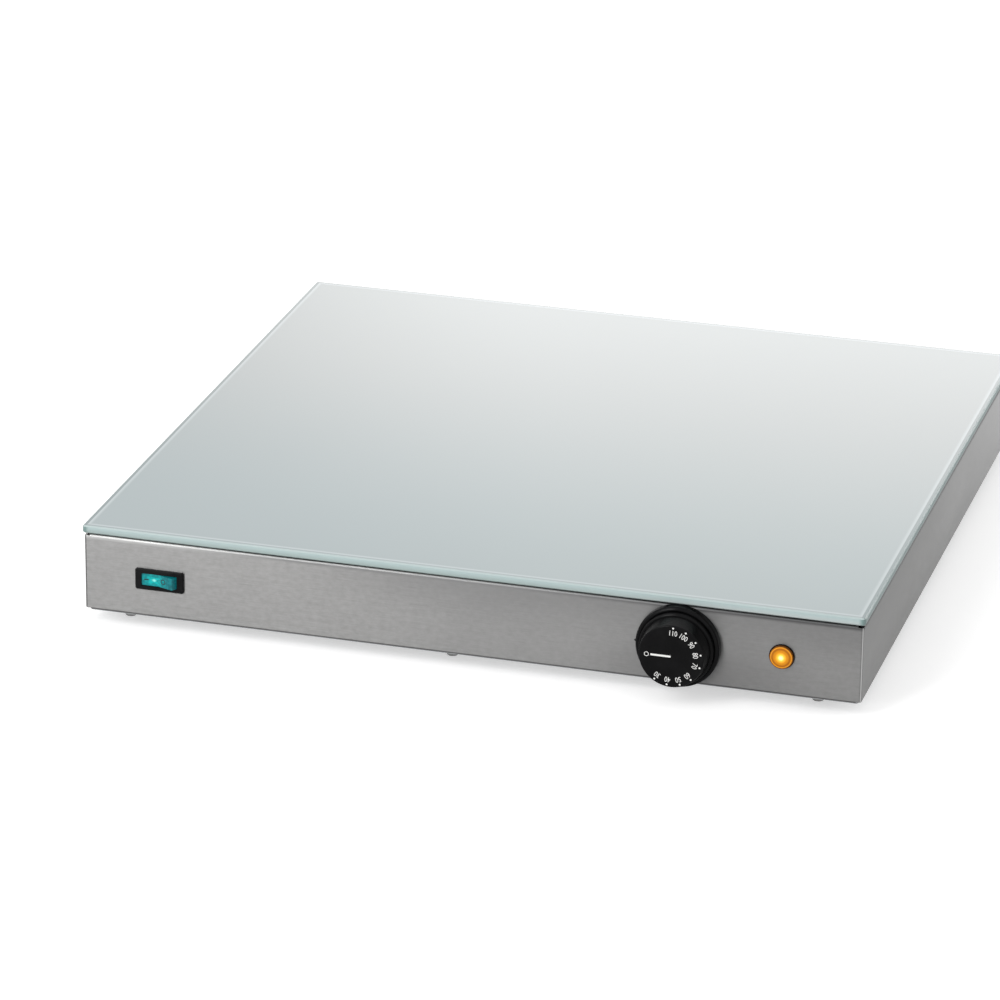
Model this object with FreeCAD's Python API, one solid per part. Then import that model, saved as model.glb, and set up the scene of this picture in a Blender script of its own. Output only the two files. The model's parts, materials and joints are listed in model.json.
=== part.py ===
import FreeCAD, Part
import math
import os

# Flat glass-topped food warming tray. Millimetres, +Z up, front towards -Y.
# The origin lies on the floor, under the middle of the whole object's box.

# Casing, bent from stainless sheet
casing_width = 500.0
casing_depth = 480.0
casing_height = 51.2
sheet = 1.0
bend_radius = 1.6
top_flange = 15.0
bottom_flange = 15.0
relief_width = 3.6
relief_height = 1.1

# Glass plate and its silicone bed
glass_thickness = 5.0
glass_overhang = 1.0
glass_corner = 2.0
glass_arris = 0.8
seal_thickness = 0.8
seal_inset = 2.0
seal_width = 10.0

# Bottom plate, its vents and screws
plate_thickness = 1.0
plate_inset = 2.5
vent_length = 44.0
vent_width = 3.0
vent_pitch = 9.0
vent_count = 8
vent_group_x = 110.0
vent_group_y = 95.0
edge_screw_inset = 7.0
edge_screw_end = 28.0
edge_screw_middle_x = -10.5
collar_radius = 3.2
collar_height = 2.0

# Feet
foot_height = 8.0
foot_top_radius = 13.0
foot_bottom_radius = 11.0
foot_inset = 42.0
foot_recess_radius = 4.6
foot_recess_depth = 4.0
foot_round = 1.0

# Metric screws and nuts
m4 = 2.0
m4_head_radius = 3.8
m4_head_height = 2.3
m4_nut_flats = 7.0
m4_nut_height = 3.2
m3 = 1.5
m3_head_radius = 2.8
m3_head_height = 1.9
m3_nut_flats = 5.5
m3_nut_height = 2.4
tapped_gap = 0.05
screw_clearance = 0.25
edge_screw_length = 8.0
foot_screw_spare = 1.5
head_slot_width = 0.9
head_slot_depth = 0.9

# Heating stack under the glass
spreader_thickness = 1.5
spreader_gap = 7.0
mat_thickness = 1.5
mat_margin = 8.0
insulation_thickness = 10.0
tray_thickness = 0.8
tray_gap = 7.5
tray_lip_gap = 0.9
slip_gap = 0.4

# Bars that press the tray up
bar_inset = 115.0
bar_width = 20.0
bar_depth = 8.0
bar_sheet = 1.0
bar_tab_drop = 6.0
bar_stud_length = 6.5

# Front controls, from the casing's ends and its bottom edge
switch_from_left = 50.0
lamp_from_right = 50.0
knob_from_right = 114.5
knob_height = 25.3

# Thermostat with its bushing and spindle
thermostat_width = 44.0
thermostat_height = 24.0
thermostat_plate = 1.5
thermostat_body_width = 36.0
thermostat_body_height = 22.0
thermostat_body_depth = 20.0
thermostat_screw_reach = 14.0
thermostat_screw_grip = 5.0
bushing_radius = 4.8
bushing_reach = 3.0
spindle_radius = 3.0
spindle_flat = 1.6
spindle_reach = 16.5
spindle_depth = 12.0
running_gap = 0.05
tab_width = 6.3
tab_thickness = 0.8
tab_length = 8.5
tab_root = 3.0
thermostat_tab_pitch = 12.0

# Knob and its fixed ring
bezel_radius = 26.4
bezel_height = 6.0
bezel_floor = 2.0
bezel_rim = 2.2
bezel_round = 1.8
pointer_length = 1.6
pointer_half_width = 2.2
knob_skirt_gap = 0.6
knob_skirt_back = 4.8
knob_skirt_front = 9.2
knob_grip_step = 1.7
knob_front_radius = 20.3
knob_reach = 20.3
knob_edge = 0.8
knob_skirt_round = 1.4
knob_wall = 2.0
hub_radius = 6.0
hub_end_gap = 0.5
spring_width = 4.6
spring_thickness = 0.4
spring_length = 8.0
spring_slot_depth = 1.0

# Rocker switch
switch_bezel_length = 32.0
switch_bezel_height = 14.0
switch_bezel_thickness = 2.0
switch_bezel_corner = 1.4
switch_bezel_chamfer = 0.7
switch_body_length = 28.0
switch_body_height = 11.0
switch_body_depth = 18.0
switch_hole_gap = 0.2
switch_catch = 0.8
switch_catch_length = 3.2
rocker_radius = 12.4
rocker_gap = 0.3
rocker_height = 7.8
rocker_pivot_depth = 3.0
rocker_valley = 4.4
rocker_back = 3.5
rocker_tilt = 10.0
trunnion_radius = 1.5
trunnion_length = 0.9
switch_tab_pitch = 9.0
neon_radius = 1.6
neon_length = 12.0

# Pilot lamp
lens_radius = 7.4
lens_reach = 3.2
lens_side = 1.6
lens_stem_radius = 4.6
lens_stem_length = 6.0
lens_wall = 1.6
lens_cuts = 6
lamp_flange = 0.8
lamp_rim = 0.6
lamp_tube_radius = 5.2
lamp_tube_depth = 22.0
lamp_floor = 2.0
lamp_fit_gap = 0.05
lamp_hole_gap = 0.2
lamp_clip_radius = 8.5
lamp_clip_thickness = 0.6
lamp_neon_radius = 2.0

# Cable gland in the back wall
gland_from_right = 70.0
gland_thread_radius = 8.0
gland_hole_gap = 0.15
gland_flats = 19.0
gland_collar = 5.0
gland_inner_length = 10.0
gland_outer_thread = 7.5
gland_dome_radius = 9.6
gland_dome_round = 3.2
gland_dome_flutes = 12
gland_reach = 18.5
gland_bore_radius = 4.6
gland_seal_radius = 6.0
gland_seal_length = 12.0
cable_radius = 3.5
gland_mouth_radius = 4.2
locknut_flats = 22.0
locknut_height = 4.0

# Terminal block and earth point
block_ways = 5
block_pitch = 10.0
block_depth = 18.0
block_height = 14.0
block_wall = 6.0
block_from_back = 57.0
way_radius = 1.7
block_screw_radius = 1.4
block_screw_slot = 0.6
block_way_depth = 6.0
block_middle_gap = 3.0
earth_from_gland = 60.0
earth_height = 21.0
earth_stud_length = 9.0
ring_thickness = 0.8
ring_radius = 4.0
ring_barrel_radius = 1.8
ring_barrel_length = 7.0

# Sensors under the spreader
bulb_radius = 3.0
bulb_length = 80.0
bulb_start_x = 20.0
bulb_y = 0.0
capillary_radius = 1.0
capillary_port_height = 4.0
capillary_side_step = 27.0
clip_thickness = 0.8
clip_width = 14.0
clip_foot = 8.5
clip_stud_reach = 8.2
stud_length = 4.6
sensor_window_side = 13.0
sensor_window_end = 10.0
sensor_window_run = 32.0
cutout_x = 60.0
cutout_y = -60.0
cutout_flange_length = 26.0
cutout_flange_width = 9.0
cutout_flange_thickness = 0.8
cutout_stud_reach = 10.3
cutout_can_radius = 8.0
cutout_can_height = 3.5
cutout_base_radius = 7.4
cutout_base_height = 6.2
cutout_window_radius = 15.0
tray_hole_radius = 11.0
cutout_tab_pitch = 10.0
mat_lead_x = -60.0
mat_lead_before_bar = 25.0
mat_lead_pitch = 10.0
lead_hole_radius = 3.0

# Wires and push-on receptacles
wire_radius = 1.2
wire_bend = 9.0
wire_fit_gap = 0.02
long_lead = 54.0
short_lead = 36.0
bend_share = 0.45
receptacle_thickness = 3.2
receptacle_width = 7.6
receptacle_length = 15.0
receptacle_tail = 4.0
receptacle_air = 0.4
lane_low = 12.5
lane_step = 5.0
lane_count = 4

# Levels, from the floor up
plate_low = foot_height
casing_low = plate_low + plate_thickness
casing_high = casing_low + casing_height
seal_high = casing_high + seal_thickness
glass_high = seal_high + glass_thickness
spreader_low = seal_high - spreader_thickness
mat_low = spreader_low - mat_thickness
insulation_low = mat_low - insulation_thickness
tray_low = insulation_low - tray_thickness
bar_low = tray_low - bar_depth
control_z = casing_low + casing_height / 2
knob_z = casing_low + knob_height

# Places across and along
middle_y = (knob_reach - gland_reach) / 2
front = middle_y - casing_depth / 2
back = middle_y + casing_depth / 2
left = -casing_width / 2
right = casing_width / 2
inner_front = front + sheet
inner_back = back - sheet
switch_x = left + switch_from_left
lamp_x = right - lamp_from_right
knob_x = right - knob_from_right
gland_x = right - gland_from_right
gland_z = control_z
earth_x = gland_x - earth_from_gland
earth_z = casing_low + earth_height

# Sizes that follow from others
m4_hole = m4 + screw_clearance
m4_tapped = m4 + tapped_gap
m3_hole = m3 + screw_clearance / 2
window_half_x = casing_width / 2 - top_flange
window_half_y = casing_depth / 2 - top_flange
spreader_half_x = window_half_x - spreader_gap
spreader_half_y = window_half_y - spreader_gap
mat_half_x = spreader_half_x - mat_margin
mat_half_y = spreader_half_y - mat_margin
tray_half_x = window_half_x - tray_gap
tray_half_y = window_half_y - tray_gap
insulation_half_x = tray_half_x - tray_thickness - slip_gap
insulation_half_y = tray_half_y - tray_thickness - slip_gap
tray_high = spreader_low - tray_lip_gap
bezel_recess_radius = bezel_radius - bezel_rim
knob_skirt_radius = bezel_recess_radius - knob_skirt_gap
knob_grip_radius = knob_skirt_radius - knob_grip_step
rocker_pivot_y = front + rocker_pivot_depth
rocker_cavity_radius = rocker_radius + rocker_gap
bar_y = (front + bar_inset, back - bar_inset)
mat_lead_y = bar_y[0] - mat_lead_before_bar
bar_stud_z = bar_low - bar_tab_drop + m4_nut_flats / 2 + m4
bulb_z = spreader_low - bulb_radius
bulb_end_x = bulb_start_x + bulb_length
capillary_drop_x = bulb_end_x + sensor_window_run - sensor_window_end
switch_back = front + switch_body_depth
thermostat_back = inner_front + thermostat_plate + thermostat_body_depth
lamp_back = front + lamp_tube_depth
block_front_y = back - block_from_back - block_depth
block_back_y = back - block_from_back
block_middle_x = gland_x
block_half_x = (block_ways - 1) * block_pitch / 2 + block_wall
way_z = casing_low + block_height / 2
cutout_low = spreader_low - cutout_flange_thickness - cutout_can_height - cutout_base_height


def block(x0, x1, y0, y1, z0, z1):
    return Part.makeBox(x1 - x0, y1 - y0, z1 - z0, FreeCAD.Vector(x0, y0, z0))


def slab(half_x, half_y, z0, z1):
    return block(-half_x, half_x, middle_y - half_y, middle_y + half_y, z0, z1)


def rod_z(x, y, z0, z1, radius):
    return Part.makeCylinder(radius, z1 - z0, FreeCAD.Vector(x, y, z0), FreeCAD.Vector(0, 0, 1))


def rod_y(x, z, y0, y1, radius):
    return Part.makeCylinder(radius, y1 - y0, FreeCAD.Vector(x, y0, z), FreeCAD.Vector(0, 1, 0))


def rod_x(y, z, x0, x1, radius):
    return Part.makeCylinder(radius, x1 - x0, FreeCAD.Vector(x0, y, z), FreeCAD.Vector(1, 0, 0))


def prism(points, direction):
    """A solid swept from a closed flat polygon."""
    corners = [FreeCAD.Vector(*point) for point in points]
    outline = Part.makePolygon(corners + corners[:1])
    return Part.Face(outline).extrude(FreeCAD.Vector(*direction))


def turned_about_y(x, z, profile):
    """Turn a profile of (radius, reach in front of the face) about a line along Y."""
    points = [(x + radius, front - reach, z) for radius, reach in profile]
    corners = [FreeCAD.Vector(*point) for point in points]
    face = Part.Face(Part.makePolygon(corners + corners[:1]))
    return face.revolve(FreeCAD.Vector(x, 0, z), FreeCAD.Vector(0, 1, 0), 360)


def hexagon(flats):
    """Corners of a hexagon with the given distance across its flats."""
    reach = flats / math.sqrt(3)
    turns = [math.radians(60 * side) for side in range(6)]
    return [(reach * math.cos(turn), reach * math.sin(turn)) for turn in turns]


def nut_z(x, y, z0, flats, height, bore):
    points = [(x + u, y + v, z0) for u, v in hexagon(flats)]
    return prism(points, (0, 0, height)).cut(rod_z(x, y, z0, z0 + height, bore))


def nut_y(x, z, y0, flats, length, bore):
    points = [(x + u, y0, z + v) for u, v in hexagon(flats)]
    return prism(points, (0, length, 0)).cut(rod_y(x, z, y0, y0 + length, bore))


def nut_x(y, z, x0, flats, length, bore):
    points = [(x0, y + u, z + v) for u, v in hexagon(flats)]
    return prism(points, (length, 0, 0)).cut(rod_x(y, z, x0, x0 + length, bore))


def edges_along(shape, axis):
    """Straight edges that run along one axis."""
    found = []
    for edge in shape.Edges:
        box = edge.BoundBox
        spans = [box.XLength, box.YLength, box.ZLength]
        others = [span for index, span in enumerate(spans) if index != axis]
        if max(others) < 1e-6 and spans[axis] > 1e-6:
            found.append(edge)
    return found


def edges_at(shape, axis, value):
    """Edges that lie in one plane across an axis."""
    found = []
    for edge in shape.Edges:
        box = edge.BoundBox
        low = [box.XMin, box.YMin, box.ZMin][axis]
        high = [box.XMax, box.YMax, box.ZMax][axis]
        if abs(low - value) < 1e-4 and abs(high - value) < 1e-4:
            found.append(edge)
    return found


def cut_all(shape, tools):
    for tool in tools:
        shape = shape.cut(tool)
    return shape


def fuse_all(shape, others):
    for other in others:
        shape = shape.fuse(other)
    return shape.removeSplitter()


def group(solids):
    return Part.makeCompound(solids)


def soft_wire(points, radius, bend):
    """A round wire along straight runs joined by tangent arcs."""
    stops = [FreeCAD.Vector(*point) for point in points]
    edges = []
    start = stops[0]
    for before, corner, after in zip(stops, stops[1:], stops[2:]):
        into = corner.sub(before)
        out = after.sub(corner)
        half_turn = into.getAngle(out) / 2
        room = bend_share * min(into.Length, out.Length) / math.tan(half_turn)
        arc_radius = min(bend, room)
        back_off = arc_radius * math.tan(half_turn)
        into.normalize()
        out.normalize()
        arc_start = corner.sub(into * back_off)
        arc_end = corner.add(out * back_off)
        inward = out.sub(into)
        inward.normalize()
        centre = corner.add(inward * (arc_radius / math.cos(half_turn)))
        outward = corner.sub(centre)
        outward.normalize()
        arc_middle = centre.add(outward * arc_radius)
        edges.append(Part.LineSegment(start, arc_start).toShape())
        edges.append(Part.Arc(arc_start, arc_middle, arc_end).toShape())
        start = arc_end
    edges.append(Part.LineSegment(start, stops[-1]).toShape())
    path = Part.Wire(edges)
    first = stops[1].sub(stops[0])
    ring = Part.Wire([Part.makeCircle(radius, stops[0], first)])
    return path.makePipeShell([ring], True, False)


def edge_screw_places():
    """Three screws along the front and back, one at the middle of each side wall."""
    reach_x = casing_width / 2 - edge_screw_end
    rows_y = (front + edge_screw_inset, back - edge_screw_inset)
    places = [(x, y) for y in rows_y for x in (-reach_x, edge_screw_middle_x, reach_x)]
    side_x = casing_width / 2 - edge_screw_inset
    return places + [(-side_x, middle_y), (side_x, middle_y)]


def foot_places():
    reach_x = casing_width / 2 - foot_inset
    reach_y = casing_depth / 2 - foot_inset
    return {
        "front_left": (-reach_x, middle_y - reach_y),
        "front_right": (reach_x, middle_y - reach_y),
        "back_left": (-reach_x, middle_y + reach_y),
        "back_right": (reach_x, middle_y + reach_y),
    }


def thermostat_screw_x():
    return (knob_x - thermostat_screw_reach, knob_x + thermostat_screw_reach)


def way_x(index):
    """Middle of one way of the terminal block, counted from the left."""
    return block_middle_x + (index - (block_ways - 1) / 2) * block_pitch


def tab_x(middle, pitch, index):
    """One of three blade terminals, index -1, 0 or 1."""
    return middle + index * pitch


# Casing

def casing_walls():
    outer = block(left, right, front, back, casing_low, casing_high)
    outer = outer.makeFillet(bend_radius, outer.Edges)
    inner = block(left + sheet, right - sheet, inner_front, inner_back,
                  casing_low + sheet, casing_high - sheet)
    inner = inner.makeFillet(bend_radius - sheet, inner.Edges)
    top_window = slab(window_half_x, window_half_y, casing_high - 2 * sheet, casing_high + sheet)
    bottom_window = slab(casing_width / 2 - bottom_flange, casing_depth / 2 - bottom_flange,
                         casing_low - sheet, casing_low + 2 * sheet)
    return cut_all(outer, [inner, top_window, bottom_window])


def corner_reliefs():
    """Small notches where the flanges part at each corner."""
    cuts = []
    for x in (left, right - relief_width):
        for y in (front, back - relief_width):
            cuts.append(block(x, x + relief_width, y, y + relief_width,
                              casing_low, casing_low + relief_height))
            cuts.append(block(x, x + relief_width, y, y + relief_width,
                              casing_high - relief_height, casing_high))
    return cuts


def control_holes():
    holes = []
    half_length = switch_body_length / 2 + switch_hole_gap
    half_height = switch_body_height / 2 + switch_hole_gap
    holes.append(block(switch_x - half_length, switch_x + half_length, front - sheet,
                       inner_front + sheet, control_z - half_height, control_z + half_height))
    holes.append(rod_y(lamp_x, control_z, front - sheet, inner_front + sheet,
                       lamp_tube_radius + lamp_hole_gap))
    holes.append(rod_y(knob_x, knob_z, front - sheet, inner_front + sheet,
                       bushing_radius + screw_clearance))
    for x in thermostat_screw_x():
        holes.append(rod_y(x, knob_z, front - sheet, inner_front + sheet, m4_hole))
    holes.append(rod_y(gland_x, gland_z, inner_back - sheet, back + sheet,
                       gland_thread_radius + gland_hole_gap))
    return holes


def flange_collars():
    """Drawn and tapped collars in the bottom flange."""
    low = casing_low + sheet / 2
    high = casing_low + sheet + collar_height
    return [rod_z(x, y, low, high, collar_radius) for x, y in edge_screw_places()]


def wall_studs():
    studs = []
    for y in bar_y:
        studs.append(rod_x(y, bar_stud_z, left + sheet / 2, left + sheet + bar_stud_length, m4))
        studs.append(rod_x(y, bar_stud_z, right - sheet - bar_stud_length, right - sheet / 2, m4))
    studs.append(rod_y(earth_x, earth_z, inner_back - earth_stud_length,
                       inner_back + sheet / 2, m4))
    return studs


def casing():
    walls = cut_all(casing_walls(), corner_reliefs())
    walls = fuse_all(walls, flange_collars() + wall_studs())
    tapped = [rod_z(x, y, casing_low - sheet, casing_low + 2 * sheet + collar_height, m4_tapped)
              for x, y in edge_screw_places()]
    return cut_all(walls, control_holes() + tapped)


# Glass and its bed

def glass_top():
    half_x = casing_width / 2 + glass_overhang
    half_y = casing_depth / 2 + glass_overhang
    plate = slab(half_x, half_y, seal_high, glass_high)
    plate = plate.makeFillet(glass_corner, edges_along(plate, 2))
    rims = edges_at(plate, 2, glass_high) + edges_at(plate, 2, seal_high)
    return plate.makeChamfer(glass_arris, rims)


def glass_seal():
    half_x = casing_width / 2 - seal_inset
    half_y = casing_depth / 2 - seal_inset
    outer = slab(half_x, half_y, casing_high, seal_high)
    inner = slab(half_x - seal_width, half_y - seal_width, casing_high, seal_high)
    return outer.cut(inner)


# Bottom plate and what holds it

def vent_slot(x, y):
    reach = (vent_length - vent_width) / 2
    low = plate_low - plate_thickness
    high = casing_low + plate_thickness
    straight = block(x - reach, x + reach, y - vent_width / 2, y + vent_width / 2, low, high)
    ends = [rod_z(x + side * reach, y, low, high, vent_width / 2) for side in (-1, 1)]
    return fuse_all(straight, ends)


def vent_slots():
    slots = []
    for side in (-1, 1):
        for row in range(vent_count):
            y = middle_y - vent_group_y + (row - (vent_count - 1) / 2) * vent_pitch
            slots.append(vent_slot(side * vent_group_x, y))
    return slots


def bottom_plate():
    plate = slab(casing_width / 2 - plate_inset, casing_depth / 2 - plate_inset,
                 plate_low, casing_low)
    plate = plate.makeFillet(bend_radius, edges_along(plate, 2))
    low = plate_low - plate_thickness
    high = casing_low + plate_thickness
    holes = [rod_z(x, y, low, high, m4_hole) for x, y in edge_screw_places()]
    holes += [rod_z(x, y, low, high, m4_hole) for x, y in foot_places().values()]
    holes += [rod_z(x, block_screw_y(), low, high, m3_hole) for x in block_screw_x()]
    return cut_all(plate, holes + vent_slots())


def pan_screw_up(x, y, under_head, length):
    """Slotted pan-head screw that points up, its head below the given level."""
    head = rod_z(x, y, under_head - m4_head_height, under_head, m4_head_radius)
    low = under_head - m4_head_height
    head = head.makeFillet(m4_head_height / 2, edges_at(head, 2, low))
    head = head.cut(block(x - m4_head_radius, x + m4_head_radius, y - head_slot_width / 2,
                          y + head_slot_width / 2, low, low + head_slot_depth))
    return fuse_all(head, [rod_z(x, y, under_head - m4_head_height / 2,
                                 under_head + length, m4)])


def bottom_screws():
    return group([pan_screw_up(x, y, plate_low, edge_screw_length)
                  for x, y in edge_screw_places()])


def rubber_foot(x, y):
    body = Part.makeCone(foot_bottom_radius, foot_top_radius, foot_height,
                         FreeCAD.Vector(x, y, 0), FreeCAD.Vector(0, 0, 1))
    body = body.makeFillet(foot_round, edges_at(body, 2, 0.0))
    return cut_all(body, [rod_z(x, y, 0, foot_height, m4_hole),
                          rod_z(x, y, 0, foot_recess_depth, foot_recess_radius)])


def foot_screws():
    length = casing_low - foot_recess_depth + m4_nut_height + foot_screw_spare
    return group([pan_screw_up(x, y, foot_recess_depth, length)
                  for x, y in foot_places().values()])


def foot_nuts():
    return group([nut_z(x, y, casing_low, m4_nut_flats, m4_nut_height, m4_tapped)
                  for x, y in foot_places().values()])


# Heating stack

def sensor_window(low, high):
    """Opening that leaves the bulb and the capillary's bend free."""
    return block(bulb_start_x - sensor_window_end, bulb_end_x + sensor_window_run,
                 middle_y + bulb_y - sensor_window_side, middle_y + bulb_y + sensor_window_side,
                 low, high)


def cutout_centre():
    return (cutout_x, middle_y + cutout_y)


def mat_lead_places():
    return [(mat_lead_x + side * mat_lead_pitch / 2, mat_lead_y) for side in (-1, 1)]


def spreader_stud_places():
    bulb_middle = bulb_start_x + bulb_length / 2
    places = [(bulb_middle, middle_y + bulb_y + side * clip_stud_reach) for side in (-1, 1)]
    x, y = cutout_centre()
    return places + [(x, y - cutout_stud_reach), (x, y + cutout_stud_reach)]


def heat_spreader():
    sheet_part = slab(spreader_half_x, spreader_half_y, spreader_low, seal_high)
    studs = [rod_z(x, y, spreader_low - stud_length, seal_high - spreader_thickness / 2, m3)
             for x, y in spreader_stud_places()]
    return fuse_all(sheet_part, studs)


def heating_mat():
    mat = slab(mat_half_x, mat_half_y, mat_low, spreader_low)
    low = mat_low - sheet
    high = spreader_low + sheet
    return cut_all(mat, [sensor_window(low, high),
                         rod_z(*cutout_centre(), low, high, cutout_window_radius)])


def insulation():
    board = slab(insulation_half_x, insulation_half_y, insulation_low, mat_low)
    low = insulation_low - sheet
    high = mat_low + sheet
    cuts = [sensor_window(low, high), rod_z(*cutout_centre(), low, high, cutout_window_radius)]
    cuts += [rod_z(x, y, low, high, lead_hole_radius) for x, y in mat_lead_places()]
    return cut_all(board, cuts)


def insulation_tray():
    outer = slab(tray_half_x, tray_half_y, tray_low, tray_high)
    inner = slab(tray_half_x - tray_thickness, tray_half_y - tray_thickness,
                 insulation_low, tray_high + sheet)
    low = tray_low - sheet
    high = insulation_low + sheet
    holes = [rod_z(*cutout_centre(), low, high, tray_hole_radius),
             rod_z(capillary_drop_x, middle_y + bulb_y, low, high, lead_hole_radius)]
    holes += [rod_z(x, y, low, high, lead_hole_radius) for x, y in mat_lead_places()]
    return cut_all(outer, [inner] + holes)


def support_bar(y):
    """Channel, open below, with a tab at each end that bolts to the side wall."""
    end = right - sheet
    half = bar_width / 2
    channel = block(-end, end, y - half, y + half, bar_low, tray_low)
    hollow = block(-end + bar_sheet, end - bar_sheet, y - half + bar_sheet,
                   y + half - bar_sheet, bar_low - bar_sheet, tray_low - bar_sheet)
    tab_low = bar_low - bar_tab_drop
    tabs = [block(-end, -end + bar_sheet, y - half, y + half, tab_low, tray_low),
            block(end - bar_sheet, end, y - half, y + half, tab_low, tray_low)]
    bar = fuse_all(channel.cut(hollow), tabs)
    holes = [rod_x(y, bar_stud_z, side * end - bar_sheet * 2, side * end + bar_sheet * 2, m4_hole)
             for side in (-1, 1)]
    return cut_all(bar, holes)


def bar_nuts():
    face = right - sheet - bar_sheet
    nuts = []
    for y in bar_y:
        nuts.append(nut_x(y, bar_stud_z, face - m4_nut_height, m4_nut_flats, m4_nut_height,
                          m4_tapped))
        nuts.append(nut_x(y, bar_stud_z, -face, m4_nut_flats, m4_nut_height, m4_tapped))
    return group(nuts)


# Sensors

def thermostat_bulb():
    y = middle_y + bulb_y
    return rod_x(y, bulb_z, bulb_start_x, bulb_end_x, bulb_radius)


def bulb_clip():
    """Saddle strip under the bulb, its two feet flat on the spreader."""
    y = middle_y + bulb_y
    middle = bulb_start_x + bulb_length / 2
    x0 = middle - clip_width / 2
    x1 = middle + clip_width / 2
    inside = bulb_radius + running_gap
    outside = inside + clip_thickness
    foot_low = spreader_low - clip_thickness
    arch = fuse_all(rod_x(y, bulb_z, x0, x1, outside),
                    [block(x0, x1, y - outside, y + outside, bulb_z, spreader_low)])
    arch = fuse_all(arch, [block(x0, x1, y - clip_foot - m3_nut_flats / 2,
                                 y + clip_foot + m3_nut_flats / 2, foot_low, spreader_low)])
    arch = cut_all(arch, [rod_x(y, bulb_z, x0, x1, inside),
                          block(x0, x1, y - inside, y + inside, bulb_z, seal_high),
                          block(x0, x1, y - outside, y + outside, spreader_low, seal_high)])
    holes = [rod_z(middle, y + side * clip_stud_reach, foot_low, spreader_low, m3_hole)
             for side in (-1, 1)]
    return cut_all(arch, holes)


def spreader_nuts():
    nuts = []
    for x, y in spreader_stud_places():
        top = spreader_low - clip_thickness
        nuts.append(nut_z(x, y, top - m3_nut_height, m3_nut_flats, m3_nut_height,
                          m3 + tapped_gap))
    return group(nuts)


def thermal_cutout():
    x, y = cutout_centre()
    half_length = cutout_flange_length / 2
    half_width = cutout_flange_width / 2
    flange_low = spreader_low - cutout_flange_thickness
    can_low = flange_low - cutout_can_height
    flange = block(x - half_width, x + half_width, y - half_length, y + half_length,
                   flange_low, spreader_low)
    flange = flange.makeFillet(half_width - sheet, edges_along(flange, 2))
    flange = cut_all(flange, [rod_z(x, y + side * cutout_stud_reach, flange_low, spreader_low,
                                    m3_hole) for side in (-1, 1)])
    nut_room = cutout_stud_reach - m3_nut_flats / 2
    can = rod_z(x, y, can_low, spreader_low, min(cutout_can_radius, nut_room))
    base = rod_z(x, y, cutout_low, can_low, cutout_base_radius)
    body = fuse_all(flange, [can, base])
    slots = [tab_z(tab_x(x, cutout_tab_pitch, side / 2), y, cutout_low, can_low)
             for side in (-1, 1)]
    return cut_all(body, slots)


def tab_z(x, y, z0, z1):
    return block(x - tab_thickness / 2, x + tab_thickness / 2, y - tab_width / 2,
                 y + tab_width / 2, z0, z1)


def tab_y(x, z, y0, y1):
    return block(x - tab_thickness / 2, x + tab_thickness / 2, y0, y1,
                 z - tab_width / 2, z + tab_width / 2)


def cutout_terminals():
    x, y = cutout_centre()
    return group([tab_z(tab_x(x, cutout_tab_pitch, side / 2), y, cutout_low - tab_length,
                        cutout_low + cutout_base_height) for side in (-1, 1)])


# Thermostat

def thermostat_body():
    plate_back = inner_front + thermostat_plate
    half_width = thermostat_width / 2
    half_height = thermostat_height / 2
    plate = block(knob_x - half_width, knob_x + half_width, inner_front, plate_back,
                  knob_z - half_height, knob_z + half_height)
    case = block(knob_x - thermostat_body_width / 2, knob_x + thermostat_body_width / 2,
                 plate_back, thermostat_back, knob_z - thermostat_body_height / 2,
                 knob_z + thermostat_body_height / 2)
    case = case.makeFillet(sheet, edges_along(case, 1))
    bushing = rod_y(knob_x, knob_z, front - bushing_reach, plate_back, bushing_radius)
    body = fuse_all(plate, [case, bushing])
    bore = rod_y(knob_x, knob_z, front - bushing_reach, front + spindle_depth,
                 spindle_radius + running_gap)
    screws = [rod_y(x, knob_z, inner_front, front + thermostat_screw_grip + sheet, m4_tapped)
              for x in thermostat_screw_x()]
    slots = [tab_y(x, knob_z, thermostat_back - tab_root, thermostat_back)
             for x in thermostat_tab_places()]
    return cut_all(body, [bore] + screws + slots)


def thermostat_tab_places():
    return [tab_x(knob_x, thermostat_tab_pitch, index) for index in (-1, 0, 1)]


def thermostat_terminals():
    return group([tab_y(x, knob_z, thermostat_back - tab_root, thermostat_back + tab_length)
                  for x in thermostat_tab_places()])


def spindle_flat_cut(z_flat, y0, y1, radius):
    return block(knob_x - radius, knob_x + radius, y0, y1, knob_z + z_flat, knob_z + 2 * radius)


def thermostat_spindle():
    front_end = front - spindle_reach
    shaft = rod_y(knob_x, knob_z, front_end, front + spindle_depth - running_gap, spindle_radius)
    shaft = shaft.makeChamfer(sheet / 2, edges_at(shaft, 1, front_end))
    return shaft.cut(spindle_flat_cut(spindle_flat, front_end, front - knob_skirt_back,
                                      spindle_radius))


def thermostat_screws():
    screws = []
    for x in thermostat_screw_x():
        under_head = front - bezel_floor
        top = under_head - m4_head_height
        head = rod_y(x, knob_z, top, under_head, m4_head_radius)
        head = head.makeFillet(m4_head_height / 2, edges_at(head, 1, top))
        head = head.cut(block(x - m4_head_radius, x + m4_head_radius, top, top + head_slot_depth,
                              knob_z - head_slot_width / 2, knob_z + head_slot_width / 2))
        screws.append(fuse_all(head, [rod_y(x, knob_z, under_head - m4_head_height / 2,
                                            front + thermostat_screw_grip, m4)]))
    return group(screws)


def capillary_route():
    y = middle_y + bulb_y
    port_z = knob_z - thermostat_body_height / 2 + capillary_port_height
    port_x = knob_x - thermostat_body_width / 2
    port_y = (inner_front + thermostat_back) / 2
    low = tray_low - bar_depth - lane_step
    lane_x = port_x - capillary_side_step
    return [(bulb_end_x, y, bulb_z), (capillary_drop_x, y, bulb_z), (capillary_drop_x, y, low),
            (lane_x, y - bulb_length, low), (lane_x, port_y, port_z), (port_x, port_y, port_z)]


def thermostat_capillary():
    return soft_wire(capillary_route(), capillary_radius, wire_bend)


# Knob and ring

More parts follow.
